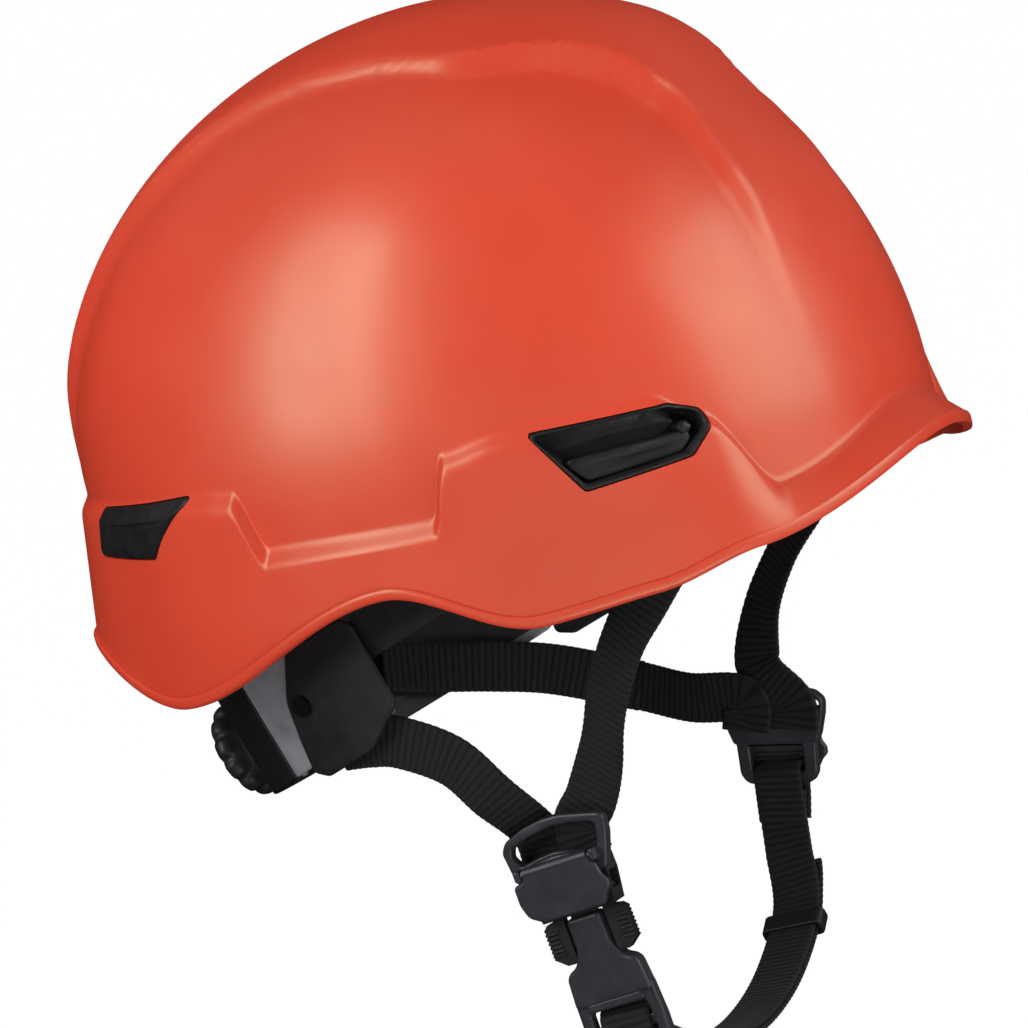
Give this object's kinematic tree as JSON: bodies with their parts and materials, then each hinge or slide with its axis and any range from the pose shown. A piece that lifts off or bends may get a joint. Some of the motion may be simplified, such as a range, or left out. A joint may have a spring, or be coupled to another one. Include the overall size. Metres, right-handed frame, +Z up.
{
  "type": "climbing helmet",
  "caption": "Hard shell climbing and work-at-height helmet with a textile cradle, ratchet head band and buckled chin strap.",
  "frame": {"origin": "middle of the head space, on the middle plane", "axes": "+X forward, +Y to the wearer's left, +Z up through the crown"},
  "size_m": [0.2609, 0.2188, 0.3075],
  "materials": {
    "shell_red": "glossy moulded ABS, orange red",
    "plastic_black": "fine-textured black nylon",
    "plastic_grey": "satin mid grey nylon",
    "webbing": "ribbed black polyester webbing",
    "foam": "dark moulded bead foam",
    "pad_fabric": "black knitted cover over soft foam",
    "steel": "plated steel",
    "gear_plastic": "dark acetal"
  },
  "bodies": {
    "helmet": {"shell": "shell_red", "slot_insert_right": "plastic_black", "slot_insert_left": "plastic_black", "rear_clip_right": "plastic_black", "rear_clip_left": "plastic_black", "impact_liner": "foam", "cradle_strap_long": "webbing", "cradle_strap_cross_a": "webbing", "cradle_strap_cross_b": "webbing", "cradle_anchors": "plastic_black", "crown_pad": "pad_fabric", "head_band_front": "plastic_black", "brow_pad": "pad_fabric", "band_hangers": "plastic_black", "nape_cradle": "plastic_grey", "nape_backplate": "plastic_black", "nape_pad": "pad_fabric", "strap_anchor_right": "plastic_black", "strap_anchor_left": "plastic_black", "cradle_screws": "steel", "ratchet_housing": "plastic_black", "front_strap_right": "webbing", "front_strap_left": "webbing", "rear_strap_right": "webbing", "rear_strap_left": "webbing", "strap_rivets": "steel", "yoke_right": "plastic_black", "yoke_left": "plastic_black", "lever_pins": "steel", "buckle_socket": "plastic_black"},
    "knob": {"ratchet_knob": "plastic_black", "ratchet_pinion": "gear_plastic", "detent_spring": "gear_plastic", "knob_screw": "steel"},
    "arm_right": {"band_arm_right": "plastic_black"},
    "arm_left": {"band_arm_left": "plastic_black"},
    "lever_right": {"yoke_lever_right": "plastic_black"},
    "lever_left": {"yoke_lever_left": "plastic_black"},
    "chin": {"chin_strap": "webbing", "chin_strap_tail": "webbing", "strap_keeper": "plastic_black", "buckle_plug": "plastic_black"},
    "prong_front": {"buckle_prong_front": "plastic_black"},
    "prong_rear": {"buckle_prong_rear": "plastic_black"}
  },
  "joints": [
    {"name": "knob_turn", "type": "hinge", "parent": "helmet", "child": "knob", "pos_m": [-0.019, 0, -0.0547], "axis": [-0.9483, 0, -0.3173], "range_deg": [-180, 240], "deforming": ["detent_spring"]},
    {"name": "arm_right_slide", "type": "hinge", "parent": "helmet", "child": "arm_right", "pos_m": [-0.019, 0, -0.0547], "axis": [-0.3173, 0, 0.9483], "range_deg": [-17, 13]},
    {"name": "arm_left_slide", "type": "hinge", "parent": "helmet", "child": "arm_left", "pos_m": [-0.019, 0, -0.0547], "axis": [-0.3173, 0, 0.9483], "range_deg": [-13, 17]},
    {"name": "lever_right_flip", "type": "hinge", "parent": "helmet", "child": "lever_right", "pos_m": [0.02146, -0.0805, -0.11836], "axis": [-0.9925, 0, -0.1219], "range_deg": [0, 75]},
    {"name": "lever_left_flip", "type": "hinge", "parent": "helmet", "child": "lever_left", "pos_m": [0.02005, 0.0805, -0.12035], "axis": [0.9903, 0, -0.1392], "range_deg": [0, 75]},
    {"name": "unbuckle", "type": "hinge", "parent": "helmet", "child": "chin", "pos_m": [0.01788, 0.077, -0.1358], "axis": [0.9919, 0.0373, 0.1218], "range_deg": [0, 60], "deforming": ["buckle_prong_front", "buckle_prong_rear"]},
    {"name": "prong_front_press", "type": "hinge", "parent": "chin", "child": "prong_front", "pos_m": [0.03282, -0.075, -0.14528], "axis": [0, -1, 0], "range_deg": [0, 5], "stiffness_Nm_per_rad": 1.2},
    {"name": "prong_rear_press", "type": "hinge", "parent": "chin", "child": "prong_rear", "pos_m": [0.01694, -0.075, -0.14723], "axis": [0, 1, 0], "range_deg": [0, 5], "stiffness_Nm_per_rad": 1.2}
  ],
  "couplings": [
    {"joint": "arm_right_slide", "follows": "knob_turn", "ratio": -0.068876},
    {"joint": "arm_left_slide", "follows": "knob_turn", "ratio": 0.067131}
  ]
}
